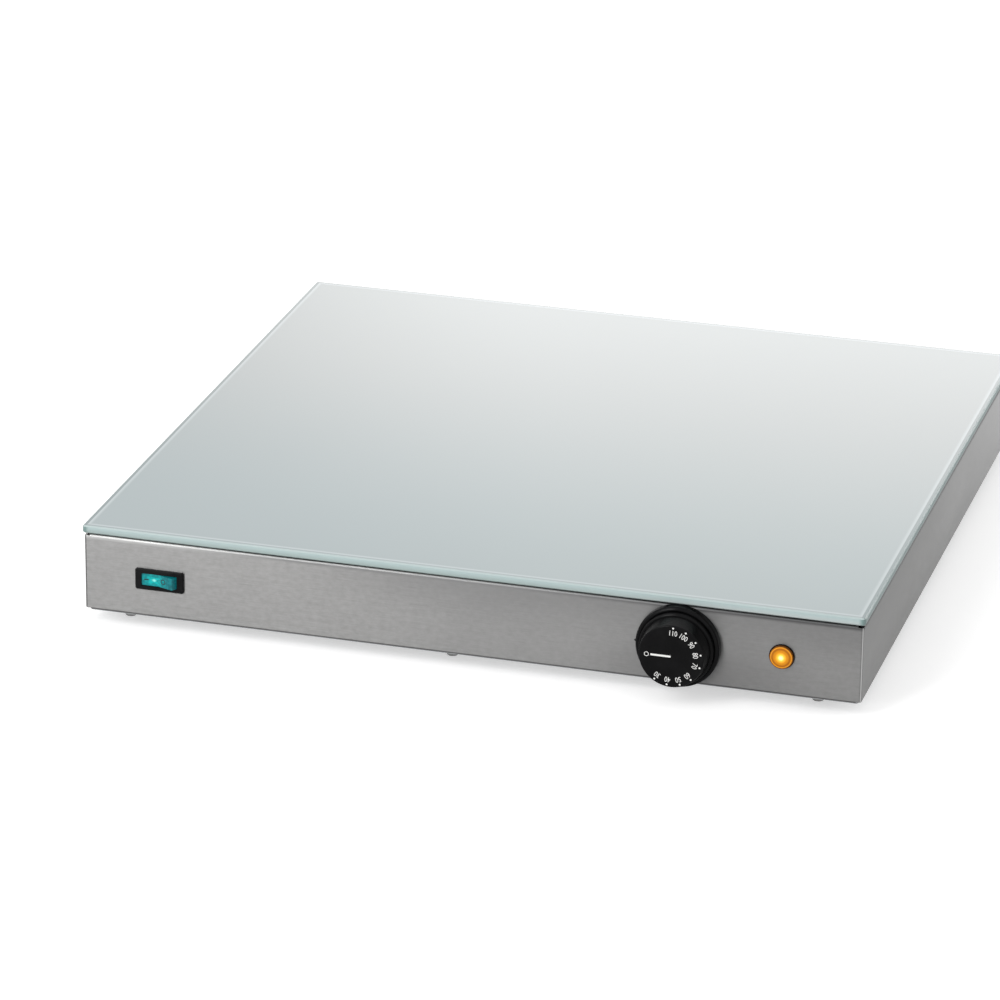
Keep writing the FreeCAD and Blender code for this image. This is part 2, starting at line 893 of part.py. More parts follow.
def knob_bezel():
    ring = rod_y(knob_x, knob_z, front - bezel_height, front, bezel_radius)
    ring = ring.makeFillet(bezel_round, edges_at(ring, 1, front - bezel_height))
    base = bezel_radius - bezel_rim
    pointer = prism([(knob_x - base, front, knob_z - pointer_half_width),
                     (knob_x - bezel_radius - pointer_length, front, knob_z),
                     (knob_x - base, front, knob_z + pointer_half_width)],
                    (0, -bezel_floor, 0))
    ring = fuse_all(ring, [pointer])
    floor = front - bezel_floor
    cuts = [rod_y(knob_x, knob_z, front - bezel_height - sheet, floor, bezel_recess_radius),
            rod_y(knob_x, knob_z, floor - sheet, front, bushing_radius + screw_clearance)]
    cuts += [rod_y(x, knob_z, floor - sheet, front, m4_hole) for x in thermostat_screw_x()]
    return cut_all(ring, cuts)


def knob_shell():
    shoulder = knob_skirt_front
    skirt = rod_y(knob_x, knob_z, front - shoulder, front - knob_skirt_back, knob_skirt_radius)
    skirt = skirt.makeFillet(knob_skirt_round, edges_at(skirt, 1, front - shoulder))
    grip = turned_about_y(knob_x, knob_z, [(0, knob_skirt_back), (knob_grip_radius, knob_skirt_back),
                                           (knob_grip_radius, shoulder),
                                           (knob_front_radius, knob_reach), (0, knob_reach)])
    grip = grip.makeFillet(knob_edge, edges_at(grip, 1, front - knob_reach))
    inside_front = knob_reach - knob_wall
    inside = [(0, knob_skirt_back - sheet), (knob_skirt_radius - knob_wall, knob_skirt_back - sheet),
              (knob_skirt_radius - knob_wall, shoulder - knob_wall),
              (knob_grip_radius - knob_wall, shoulder),
              (knob_front_radius - knob_wall, inside_front), (0, inside_front)]
    return fuse_all(skirt, [grip]).cut(turned_about_y(knob_x, knob_z, inside))


def knob():
    hub_back = front - knob_skirt_back - hub_end_gap
    bore_front = front - spindle_reach - hub_end_gap
    bore_radius = spindle_radius + running_gap / 2
    hub = rod_y(knob_x, knob_z, front - knob_reach + knob_wall / 2, hub_back, hub_radius)
    bore = rod_y(knob_x, knob_z, bore_front, hub_back, bore_radius)
    bore = bore.cut(spindle_flat_cut(spindle_flat + running_gap / 2, bore_front, hub_back,
                                     bore_radius))
    slot = block(knob_x - spring_width / 2 - running_gap, knob_x + spring_width / 2 + running_gap,
                 hub_back - hub_end_gap - spring_length, hub_back - hub_end_gap,
                 knob_z, knob_z + spindle_flat + running_gap / 2 + spring_slot_depth)
    return fuse_all(knob_shell(), [hub]).cut(bore).cut(slot)


def knob_spring():
    """Leaf bowed against the spindle's flat."""
    high = knob_z + spindle_flat + running_gap / 2 + spring_slot_depth
    low = high - spring_slot_depth + running_gap
    end = front - knob_skirt_back - 2 * hub_end_gap
    start = end - spring_length
    middle = (start + end) / 2
    x0 = knob_x - spring_width / 2

    def at(y, z):
        return FreeCAD.Vector(x0, y, z)

    outer = Part.Arc(at(start, high - spring_thickness), at(middle, low),
                     at(end, high - spring_thickness))
    inner = Part.Arc(at(end, high), at(middle, low + spring_thickness), at(start, high))
    sides = [Part.LineSegment(at(end, high - spring_thickness), at(end, high)),
             Part.LineSegment(at(start, high), at(start, high - spring_thickness))]
    outline = Part.Wire([outer.toShape(), sides[0].toShape(), inner.toShape(),
                         sides[1].toShape()])
    return Part.Face(outline).extrude(FreeCAD.Vector(spring_width, 0, 0))


# Rocker switch

def switch_housing():
    half_length = switch_bezel_length / 2
    half_height = switch_bezel_height / 2
    face = front - switch_bezel_thickness
    bezel = block(switch_x - half_length, switch_x + half_length, face, front,
                  control_z - half_height, control_z + half_height)
    bezel = bezel.makeFillet(switch_bezel_corner, edges_along(bezel, 1))
    bezel = bezel.makeChamfer(switch_bezel_chamfer, edges_at(bezel, 1, face))
    body = block(switch_x - switch_body_length / 2, switch_x + switch_body_length / 2, front,
                 switch_back, control_z - switch_body_height / 2,
                 control_z + switch_body_height / 2)
    housing = fuse_all(bezel, [body] + switch_catches())
    low = control_z - rocker_height / 2 - rocker_gap
    high = control_z + rocker_height / 2 + rocker_gap
    cavity = rod_z(switch_x, rocker_pivot_y, low, high, rocker_cavity_radius)
    reach = trunnion_length + rocker_gap
    pivots = rod_z(switch_x, rocker_pivot_y, low - reach, high + reach,
                   trunnion_radius + running_gap)
    slots = [tab_y(x, control_z, front + rocker_pivot_depth, switch_back)
             for x in switch_tab_places()]
    return cut_all(housing, [cavity, pivots] + slots)


def switch_catches():
    """Sprung wedges that hold the housing behind the wall."""
    catches = []
    for side in (-1, 1):
        x = switch_x + side * switch_body_length / 2
        y = inner_front + running_gap
        z = control_z - switch_body_height / 4
        catches.append(prism([(x, y, z), (x + side * switch_catch, y, z),
                              (x, y + switch_catch_length, z)], (0, 0, switch_body_height / 2)))
    return catches


def switch_rocker():
    """Disc sector with a shallow valley, tilted so that its left half is pressed in."""
    low = control_z - rocker_height / 2
    high = control_z + rocker_height / 2
    disc = rod_z(switch_x, rocker_pivot_y, low, high, rocker_radius)
    rise = rocker_radius * math.tan(math.radians(rocker_tilt))
    crest = rocker_pivot_y - rocker_valley - rise
    valley = rocker_pivot_y - rocker_valley
    beyond = rocker_pivot_y - 2 * rocker_radius
    over = prism([(switch_x - rocker_radius, crest, low), (switch_x, valley, low),
                  (switch_x + rocker_radius, crest, low), (switch_x + rocker_radius, beyond, low),
                  (switch_x - rocker_radius, beyond, low)], (0, 0, rocker_height))
    under = block(switch_x - rocker_radius, switch_x + rocker_radius,
                  rocker_pivot_y + rocker_back, rocker_pivot_y + rocker_radius, low, high)
    rocker = disc.cut(over).cut(under)
    reach = trunnion_length + rocker_gap
    pins = rod_z(switch_x, rocker_pivot_y, low - reach, high + reach, trunnion_radius)
    rocker = fuse_all(rocker, [pins]).cut(neon_space(running_gap))
    rocker.rotate(FreeCAD.Vector(switch_x, rocker_pivot_y, 0), FreeCAD.Vector(0, 0, 1),
                  -rocker_tilt)
    return rocker


def neon_space(gap):
    """Room for the neon tube, open at the back of the rocker."""
    y = rocker_pivot_y + rocker_back - neon_radius / 2
    return rod_x(y, control_z, switch_x - neon_length / 2 - gap,
                 switch_x + neon_length / 2 + gap, neon_radius + gap)


def switch_neon():
    tube = neon_space(0.0)
    tube.rotate(FreeCAD.Vector(switch_x, rocker_pivot_y, 0), FreeCAD.Vector(0, 0, 1),
                -rocker_tilt)
    return tube


def switch_tab_places():
    return [tab_x(switch_x, switch_tab_pitch, index) for index in (-1, 0, 1)]


def switch_terminals():
    start = rocker_pivot_y + rocker_cavity_radius + sheet
    return group([tab_y(x, control_z, start, switch_back + tab_length)
                  for x in switch_tab_places()])


# Pilot lamp

def lamp_lens():
    rise = lens_reach - lamp_flange - lens_side
    ball_radius = (lens_radius ** 2 + rise ** 2) / (2 * rise)
    ball = Part.makeSphere(ball_radius, FreeCAD.Vector(lamp_x, front - lens_reach + ball_radius,
                                                       control_z))
    lens = rod_y(lamp_x, control_z, front - lens_reach, front - lamp_flange, lens_radius)
    lens = lens.common(ball)
    stem_end = front - lamp_flange + lens_stem_length
    lens = fuse_all(lens, [rod_y(lamp_x, control_z, front - lamp_flange - lens_side / 2,
                                 stem_end, lens_stem_radius)])
    return lens.cut(rod_y(lamp_x, control_z, front - lamp_flange - lens_side / 2, stem_end,
                          lens_stem_radius - lens_wall))


def lamp_holder():
    flange = rod_y(lamp_x, control_z, front - lamp_flange, front, lens_radius + lamp_rim)
    tube = rod_y(lamp_x, control_z, front - lamp_flange / 2, lamp_back, lamp_tube_radius)
    bore = rod_y(lamp_x, control_z, front - lamp_flange, lamp_back - lamp_floor,
                 lens_stem_radius + lamp_fit_gap)
    return fuse_all(flange, [tube]).cut(bore)


def lamp_clip():
    """Push-on star washer behind the wall."""
    low = inner_front
    high = inner_front + lamp_clip_thickness
    washer = rod_y(lamp_x, control_z, low, high, lamp_clip_radius)
    washer = washer.cut(rod_y(lamp_x, control_z, low, high, lamp_tube_radius + lamp_fit_gap))
    notch = block(lamp_x - head_slot_width / 2, lamp_x + head_slot_width / 2, low, high,
                  control_z, control_z + lamp_tube_radius + head_slot_width * 2)
    notches = []
    for index in range(lens_cuts):
        cut = notch.copy()
        cut.rotate(FreeCAD.Vector(lamp_x, 0, control_z), FreeCAD.Vector(0, 1, 0),
                   360 / lens_cuts * index)
        notches.append(cut)
    return cut_all(washer, notches)


def lamp_neon():
    return rod_y(lamp_x, control_z, front, lamp_back - lamp_floor, lamp_neon_radius)


# Cable gland

def gland_body():
    collar = nut_y(gland_x, gland_z, back, gland_flats, gland_collar, gland_bore_radius)
    inner_end = inner_back - gland_inner_length
    outer_end = back + gland_collar + gland_outer_thread
    thread = rod_y(gland_x, gland_z, inner_end, outer_end, gland_thread_radius)
    body = fuse_all(collar, [thread])
    seat = back + gland_collar - sheet
    return cut_all(body, [rod_y(gland_x, gland_z, inner_end, outer_end, gland_bore_radius),
                          rod_y(gland_x, gland_z, seat, outer_end,
                                gland_seal_radius + running_gap)])


def gland_seal():
    seat = back + gland_collar - sheet
    ring = rod_y(gland_x, gland_z, seat, seat + gland_seal_length, gland_seal_radius)
    return ring.cut(rod_y(gland_x, gland_z, seat, seat + gland_seal_length, cable_radius))


def gland_dome_nut():
    start = back + gland_collar + running_gap
    end = back + gland_reach
    dome = rod_y(gland_x, gland_z, start, end, gland_dome_radius)
    dome = dome.makeFillet(gland_dome_round, edges_at(dome, 1, end))
    thread_end = back + gland_collar + gland_outer_thread + running_gap
    seal_end = back + gland_collar - sheet + gland_seal_length + running_gap
    flutes = []
    for index in range(gland_dome_flutes):
        turn = math.radians(360 / gland_dome_flutes * index)
        reach = gland_dome_radius + sheet / 2
        flutes.append(rod_y(gland_x + reach * math.cos(turn), gland_z + reach * math.sin(turn),
                            start, thread_end, sheet))
    return cut_all(dome, [rod_y(gland_x, gland_z, start, thread_end,
                                gland_thread_radius + running_gap),
                          rod_y(gland_x, gland_z, start, seal_end,
                                gland_seal_radius + running_gap),
                          rod_y(gland_x, gland_z, start, end, gland_mouth_radius)] + flutes)


def gland_locknut():
    return nut_y(gland_x, gland_z, inner_back - locknut_height, locknut_flats, locknut_height,
                 gland_thread_radius + running_gap)


# Terminal block and earth

def block_screw_y():
    return (block_front_y + block_back_y) / 2


def block_screw_x():
    half = block_pitch / 2
    return (way_x(0) + half, way_x(block_ways - 1) - half)


def terminal_block():
    body = block(block_middle_x - block_half_x, block_middle_x + block_half_x, block_front_y,
                 block_back_y, casing_low, casing_low + block_height)
    top = casing_low + block_height
    for gap_x in [way_x(index) + block_pitch / 2 for index in range(block_ways - 1)]:
        for y0, y1 in ((block_front_y, block_screw_y() - block_middle_gap),
                       (block_screw_y() + block_middle_gap, block_back_y)):
            body = body.cut(block(gap_x - sheet / 2, gap_x + sheet / 2, y0, y1, way_z, top))
    ways = [rod_y(way_x(index), way_z, block_front_y, block_back_y, way_radius)
            for index in range(block_ways)]
    wells = [rod_z(x, y, way_z, top, block_screw_radius + running_gap)
             for x, y in terminal_screw_places()]
    fixings = [rod_z(x, block_screw_y(), casing_low, top, m3_hole) for x in block_screw_x()]
    return cut_all(body, ways + wells + fixings)


def terminal_screw_places():
    return [(way_x(index), block_screw_y() + side * block_way_depth)
            for index in range(block_ways) for side in (-1, 1)]


def terminal_screws():
    low = way_z + wire_radius + running_gap
    high = casing_low + block_height - running_gap
    screws = []
    for x, y in terminal_screw_places():
        screw = rod_z(x, y, low, high, block_screw_radius)
        screws.append(screw.cut(block(x - block_screw_radius, x + block_screw_radius,
                                      y - block_screw_slot / 2, y + block_screw_slot / 2,
                                      high - head_slot_depth, high)))
    return group(screws)


def block_screws():
    top = casing_low + block_height
    screws = []
    for x in block_screw_x():
        head = rod_z(x, block_screw_y(), top, top + m3_head_height, m3_head_radius)
        shank = rod_z(x, block_screw_y(), plate_low, top + m3_head_height / 2, m3)
        screws.append(fuse_all(head, [shank]))
    return group(screws)


def earth_ring():
    """Crimped ring terminal, flat on the wall, its barrel pointing right."""
    face = inner_back
    plate_front = face - ring_thickness
    disc = rod_y(earth_x, earth_z, plate_front, face, ring_radius)
    neck_end = earth_x + ring_radius + ring_barrel_radius
    neck = block(earth_x, neck_end, plate_front, face, earth_z - ring_barrel_radius,
                 earth_z + ring_barrel_radius)
    barrel_y = face - ring_barrel_radius
    barrel = rod_x(barrel_y, earth_z, neck_end - ring_thickness, neck_end + ring_barrel_length,
                   ring_barrel_radius)
    ring = fuse_all(disc, [neck, barrel])
    return cut_all(ring, [rod_y(earth_x, earth_z, plate_front, face, m4_hole),
                          rod_x(barrel_y, earth_z, neck_end, neck_end + ring_barrel_length,
                                wire_radius + wire_fit_gap)])


def earth_nut():
    return nut_y(earth_x, earth_z, inner_back - ring_thickness - m4_nut_height, m4_nut_flats,
                 m4_nut_height, m4_tapped)


# Push-on receptacles and wires

def receptacle_y(x, z, start):
    """Sleeve over a blade that points back, with a round tail for the wire."""
    body = block(x - receptacle_thickness / 2, x + receptacle_thickness / 2, start,
                 start + receptacle_length, z - receptacle_width / 2, z + receptacle_width / 2)
    body = body.makeFillet(sheet, edges_along(body, 1))
    end = start + receptacle_length
    return cut_all(body, [tab_y(x, z, start, start + tab_length),
                          rod_y(x, z, end - receptacle_tail, end, wire_radius + wire_fit_gap)])


def receptacle_down(x, y, top):
    body = block(x - receptacle_thickness / 2, x + receptacle_thickness / 2,
                 y - receptacle_width / 2, y + receptacle_width / 2,
                 top - receptacle_length, top)
    body = body.makeFillet(sheet, edges_along(body, 2))
    low = top - receptacle_length
    return cut_all(body, [tab_z(x, y, top - tab_length, top),
                          rod_z(x, y, low, low + receptacle_tail, wire_radius + wire_fit_gap)])


def switch_receptacles():
    return group([receptacle_y(x, control_z, switch_back + receptacle_air)
                  for x in switch_tab_places()])


def thermostat_receptacles():
    return group([receptacle_y(x, knob_z, thermostat_back + receptacle_air)
                  for x in thermostat_tab_places()])


def cutout_tab_places():
    x, y = cutout_centre()
    return [(tab_x(x, cutout_tab_pitch, side / 2), y) for side in (-1, 1)]


def cutout_receptacles():
    return group([receptacle_down(x, y, cutout_low - receptacle_air)
                  for x, y in cutout_tab_places()])


def wire_routes():
    """Named routes from end to end, each in its own lane."""
    switch_tail = switch_back + receptacle_air + receptacle_length
    thermostat_tail = thermostat_back + receptacle_air + receptacle_length
    switch_seat = switch_tail - receptacle_tail
    thermostat_seat = thermostat_tail - receptacle_tail
    cutout_seat = cutout_low - receptacle_air - receptacle_length + receptacle_tail
    way_end = block_front_y + block_depth / 2 - running_gap
    earth_way, line_way, switch_way, mat_way, lamp_way = [way_x(i) for i in range(block_ways)]
    tab_left, tab_middle, tab_right = switch_tab_places()
    stat_left, stat_middle, stat_right = thermostat_tab_places()
    (cut_left, cut_y), (cut_right, _) = cutout_tab_places()
    (lead_left, lead_y), (lead_right, _) = mat_lead_places()
    lane = [lane_low + lane_step * index for index in range(lane_count)]
    entry = block_front_y - 2 * wire_bend
    near = switch_tail + wire_bend
    middle = near + wire_bend
    far = middle + wire_bend
    lamp_pitch = lamp_tube_radius / 2
    barrel_start = earth_x + ring_radius + ring_barrel_radius
    barrel_y = inner_back - ring_barrel_radius
    earth_turn = block_middle_x - block_half_x - wire_bend
    return {
        "wire_line_in": [
            (tab_left, switch_seat, control_z), (tab_left, far, control_z),
            (tab_left, far, lane[0]), (line_way, far, lane[0]), (line_way, entry, way_z),
            (line_way, way_end, way_z)],
        "wire_switched_line": [
            (tab_middle, switch_seat, control_z), (tab_middle, near, control_z),
            (tab_middle, near, lane[2]), (stat_left, near, lane[2]),
            (stat_left, thermostat_tail + wire_bend, knob_z), (stat_left, thermostat_seat, knob_z)],
        "wire_switch_neutral": [
            (tab_right, switch_seat, control_z), (tab_right, middle, control_z),
            (tab_right, middle, lane[1]), (switch_way, middle, lane[1]),
            (switch_way, entry, way_z), (switch_way, way_end, way_z)],
        "wire_cutout_line": [
            (stat_middle, thermostat_seat, knob_z), (stat_middle, near, knob_z),
            (stat_middle, far + wire_bend, lane[3]), (cut_right, cut_y - long_lead, lane[3]),
            (cut_right, cut_y, lane[3] - wire_bend / 3), (cut_right, cut_y, cutout_seat)],
        "wire_mat_line": [
            (cut_left, cut_y, cutout_seat), (cut_left, cut_y, lane[3] - wire_bend / 3),
            (lead_right, lead_y, lane[3]), (lead_right, lead_y, mat_low)],
        "wire_mat_neutral": [
            (lead_left, lead_y, mat_low), (lead_left, lead_y, lane[2]),
            (lead_left + wire_bend, lead_y + short_lead, lane[2]),
            (mat_way, lead_y + short_lead, lane[2]), (mat_way, entry, way_z),
            (mat_way, way_end, way_z)],
        "wire_lamp_line": [
            (lamp_x - lamp_pitch, lamp_back, control_z), (lamp_x - lamp_pitch, middle, control_z),
            (stat_right, middle, knob_z), (stat_right, thermostat_seat, knob_z)],
        "wire_lamp_neutral": [
            (lamp_x + lamp_pitch, lamp_back, control_z), (lamp_x + lamp_pitch, middle, control_z),
            (lamp_way, far + short_lead, lane[2]), (lamp_way, entry, way_z),
            (lamp_way, way_end, way_z)],
        "wire_earth": [
            (barrel_start, barrel_y, earth_z), (earth_turn, barrel_y, earth_z),
            (earth_turn, entry, way_z), (earth_way, entry, way_z), (earth_way, way_end, way_z)],
    }


def wires():
    made = {}
    for name, route in wire_routes().items():
        made[name] = soft_wire(route, wire_radius, wire_bend)
    return made


def feet():
    return {"foot_" + place: rubber_foot(x, y) for place, (x, y) in foot_places().items()}


def bars():
    return {"support_bar_front": support_bar(bar_y[0]), "support_bar_back": support_bar(bar_y[1])}


single_parts = [
    glass_top, glass_seal, casing, bottom_plate, bottom_screws, foot_screws, foot_nuts,
    heat_spreader, heating_mat, insulation, insulation_tray, bar_nuts,
    thermostat_bulb, bulb_clip, spreader_nuts, thermal_cutout, cutout_terminals,
    cutout_receptacles, thermostat_body, thermostat_terminals, thermostat_receptacles,
    thermostat_spindle, thermostat_screws, thermostat_capillary, knob_bezel, knob, knob_spring,
    switch_housing, switch_rocker, switch_neon, switch_terminals, switch_receptacles,
    lamp_lens, lamp_holder, lamp_clip, lamp_neon, gland_body, gland_seal, gland_dome_nut,
    gland_locknut, terminal_block, terminal_screws, block_screws, earth_ring, earth_nut,
]

os.makedirs("parts", exist_ok=True)
nodes = {make.__name__: make() for make in single_parts}
nodes.update(feet())
nodes.update(bars())
nodes.update(wires())
for name, shape in nodes.items():
    shape.exportStep("parts/" + name + ".step")
    print(name, "solids", len(shape.Solids), "valid", shape.isValid(), "volume",
          round(shape.Volume, 1))
print(len(nodes), "nodes")
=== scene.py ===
"""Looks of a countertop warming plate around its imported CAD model. Metres, in the CAD frame."""

import json
import math

import bmesh
import bpy
from mathutils import Matrix, Vector
from mathutils.bvhtree import BVHTree


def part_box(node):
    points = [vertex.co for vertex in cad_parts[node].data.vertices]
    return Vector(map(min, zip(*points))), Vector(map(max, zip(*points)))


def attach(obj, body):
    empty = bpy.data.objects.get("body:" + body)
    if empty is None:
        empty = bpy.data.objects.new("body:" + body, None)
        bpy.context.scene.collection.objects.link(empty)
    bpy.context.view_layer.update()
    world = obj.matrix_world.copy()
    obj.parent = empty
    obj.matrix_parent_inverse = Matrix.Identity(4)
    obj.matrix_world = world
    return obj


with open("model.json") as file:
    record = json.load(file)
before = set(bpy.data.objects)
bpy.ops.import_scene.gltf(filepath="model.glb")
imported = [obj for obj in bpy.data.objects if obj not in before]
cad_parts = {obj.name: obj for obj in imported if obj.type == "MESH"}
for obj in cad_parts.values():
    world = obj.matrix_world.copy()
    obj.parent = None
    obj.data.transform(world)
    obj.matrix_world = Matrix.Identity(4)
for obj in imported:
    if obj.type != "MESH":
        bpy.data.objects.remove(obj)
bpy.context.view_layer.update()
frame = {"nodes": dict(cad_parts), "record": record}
nodes = frame["nodes"]

# Places taken from the CAD model
glass_low, glass_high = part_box("glass_top")
casing_low, casing_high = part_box("casing")
knob_low, knob_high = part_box("knob")
lens_low, lens_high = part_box("lamp_lens")
rocker_low, rocker_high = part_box("switch_rocker")
knob_x = (knob_low.x + knob_high.x) / 2
knob_z = (knob_low.z + knob_high.z) / 2
lens_x = (lens_low.x + lens_high.x) / 2
lens_z = (lens_low.z + lens_high.z) / 2
rocker_x = (rocker_low.x + rocker_high.x) / 2
rocker_z = (rocker_low.z + rocker_high.z) / 2

# Camera, from the photograph's perspective
camera_place = Vector((0.836475, -3.13969, 1.31997))
camera_right = Vector((0.96143, 0.27482, 0.01072))
camera_up = Vector((-0.11161, 0.35422, 0.92848))
camera_lens = 191.26
camera_sensor = 36.0
camera_clip = (0.05, 100.0)

# Floor, and how bright it is to the eye and in reflections
floor_level = -0.0002
floor_reach = 30.0
floor_seen = 0.46
floor_mirrored = 0.10

# Light powers, the world's level, and where the back panel's two fades start and end
ambient_level = 0.68
key_power = 30.0
low_power = 19.0
side_power = 9.0
strip_power = 8.0
panel_power = 19.0
panel_fades = ((1.0, 0.7), (0.95, 0.52))

# Bands on the glass, by how far in from its edge they start and end; the bright line is a painted
# glint
bared_strip = (0.0024, 0.0029)
painted_glint_from = (0.0025, 0.0031)
painted_glint_to = (0.0034, 0.0056)
dark_corner = (0.0016, 0.0046)
edge_top = glass_high.z - 0.0005

# Painted shade and light on the casing: the knob's shadow, shade over the top part, a painted
# reflection at the top edge and painted shade at the bottom edge
knob_shade_centre = (knob_x + 0.012, knob_z - 0.018)
knob_shade_stretch = (1.0, 0.5)
knob_shade_reach = (0.015, 0.085)
upper_shade_from = casing_low.z + 0.018
top_bend_reflection_band = (casing_high.z - 0.0037, casing_high.z - 0.0014)
bottom_lip_shade_band = (casing_low.z + 0.0006, casing_low.z + 0.0017)

# The neon's spot behind the rocker
neon_spot = (rocker_x - 0.0034, rocker_z)
neon_spot_size = (0.0120, 0.0075)

# How a plain finish is put together
plain_ior = 1.45
fine_share = 0.6
broad_patches = 14

# Print on the dial and the rocker
print_height = 0.00004
print_gap = 0.00001
same_place = 1e-7
ray_start = 0.01
ring_steps = 40
bar_steps = 8
text_steps = 4
dial_dots_radius = 0.01875
dial_dot_size = 0.00060
dial_text_radius = 0.0153
dial_text_size = 0.0048
dial_text_narrow = 0.80
dial_marks = ((110, 87.0), (100, 61.5), (90, 36.0), (80, 9.6), (70, -16.4), (60, -47.3),
              (50, -71.6), (40, -97.0), (30, -122.6))
dial_bar_from = -0.0129
dial_bar_to = -0.0002
dial_bar_half = 0.00062
dial_off_radius = 0.0154
dial_off_size = 0.00150
dial_off_line = 0.00036
rocker_dash_x = -0.0086
rocker_dash = (0.0015, 0.0005)
rocker_ring_x = 0.0029
rocker_ring = (0.0018, 0.0007)


class Paint:
    """One procedural material. A value given to an input is a constant or another node's output."""

    def __init__(self, name):
        self.material = bpy.data.materials.new(name)
        self.material.use_nodes = True
        self.nodes = self.material.node_tree.nodes
        self.links = self.material.node_tree.links
        self.nodes.clear()
        self.output = self.nodes.new("ShaderNodeOutputMaterial")

    def feed(self, socket, value):
        if isinstance(value, bpy.types.NodeSocket):
            self.links.new(value, socket)
        else:
            socket.default_value = value

    def make(self, kind, inputs, **settings):
        made = self.nodes.new("ShaderNode" + kind)
        for key, value in settings.items():
            setattr(made, key, value)
        for key, value in inputs.items():
            self.feed(made.inputs[key], value)
        return made

    def math(self, operation, first, second=0.0, third=0.0):
        inputs = {0: first, 1: second, 2: third}
        return self.make("Math", inputs, operation=operation).outputs[0]

    def span(self, value, low, high, start=0.0, end=1.0):
        """A smooth step of value from low to high, as start to end."""
        inputs = {"Value": value, "From Min": low, "From Max": high, "To Min": start,
                  "To Max": end}
        return self.make("MapRange", inputs, interpolation_type="SMOOTHSTEP").outputs[0]

    def mix(self, factor, first, second):
        made = self.make("Mix", {0: factor, 6: first, 7: second}, data_type="RGBA")
        return made.outputs[2]

    def place(self, stretch=(1.0, 1.0, 1.0)):
        point = self.make("TexCoord", {}).outputs["Object"]
        return self.make("Mapping", {"Vector": point, "Scale": stretch}).outputs[0]

    def noise(self, place, scale, detail=5.0, roughness=0.55):
        inputs = {"Vector": place, "Scale": scale, "Detail": detail, "Roughness": roughness}
        return self.make("TexNoise", inputs).outputs["Fac"]

    def axes(self):
        point = self.make("TexCoord", {}).outputs["Object"]
        split = self.make("SeparateXYZ", {0: point})
        return split.outputs[0], split.outputs[1], split.outputs[2]

    def normal_axes(self):
        normal = self.make("TexCoord", {}).outputs["Normal"]
        split = self.make("SeparateXYZ", {0: normal})
        return split.outputs[0], split.outputs[1], split.outputs[2]

    def bump(self, height, strength, distance):
        inputs = {"Height": height, "Strength": strength, "Distance": distance}
        return self.make("Bump", inputs).outputs[0]

    def finish(self, **inputs):
        """The surface itself. Underscores in the names stand for spaces."""
        named = {key.replace("_", " "): value for key, value in inputs.items()}
        surface = self.make("BsdfPrincipled", named)
        self.links.new(surface.outputs[0], self.output.inputs["Surface"])
        return self.material


def rgb(red, green, blue):
    return (red, green, blue, 1.0)


def plain(name, light, dark, rough, grain, bump=0.1, metallic=0.0, stretch=(1.0, 1.0, 1.0),
          depth=0.0002):
    """A finish with fine grain, broader patches of tone, and gloss that varies with both."""
    paint = Paint(name)
    fine = paint.noise(paint.place(stretch), grain)
    broad = paint.noise(paint.place(), grain / broad_patches, 3.0)
    broad_part = paint.math("MULTIPLY", broad, 1 - fine_share)
    tone = paint.math("MULTIPLY_ADD", fine, fine_share, broad_part)
    colour = paint.mix(paint.span(tone, 0.3, 0.7), dark, light)
    gloss = paint.span(tone, 0.25, 0.75, rough[0], rough[1])
    return paint.finish(Base_Color=colour, Metallic=metallic, Roughness=gloss, IOR=plain_ior,
                        Normal=paint.bump(fine, bump, depth))


def distance(paint, centre, radii):
    """How far a point is from centre in the x and z plane, in parts of the radii."""
    x, _, z = paint.axes()
    across = paint.math("DIVIDE", paint.math("SUBTRACT", x, centre[0]), radii[0])
    above = paint.math("DIVIDE", paint.math("SUBTRACT", z, centre[1]), radii[1])
    square = paint.math("ADD", paint.math("MULTIPLY", across, across),
                        paint.math("MULTIPLY", above, above))
    return paint.math("SQRT", square)


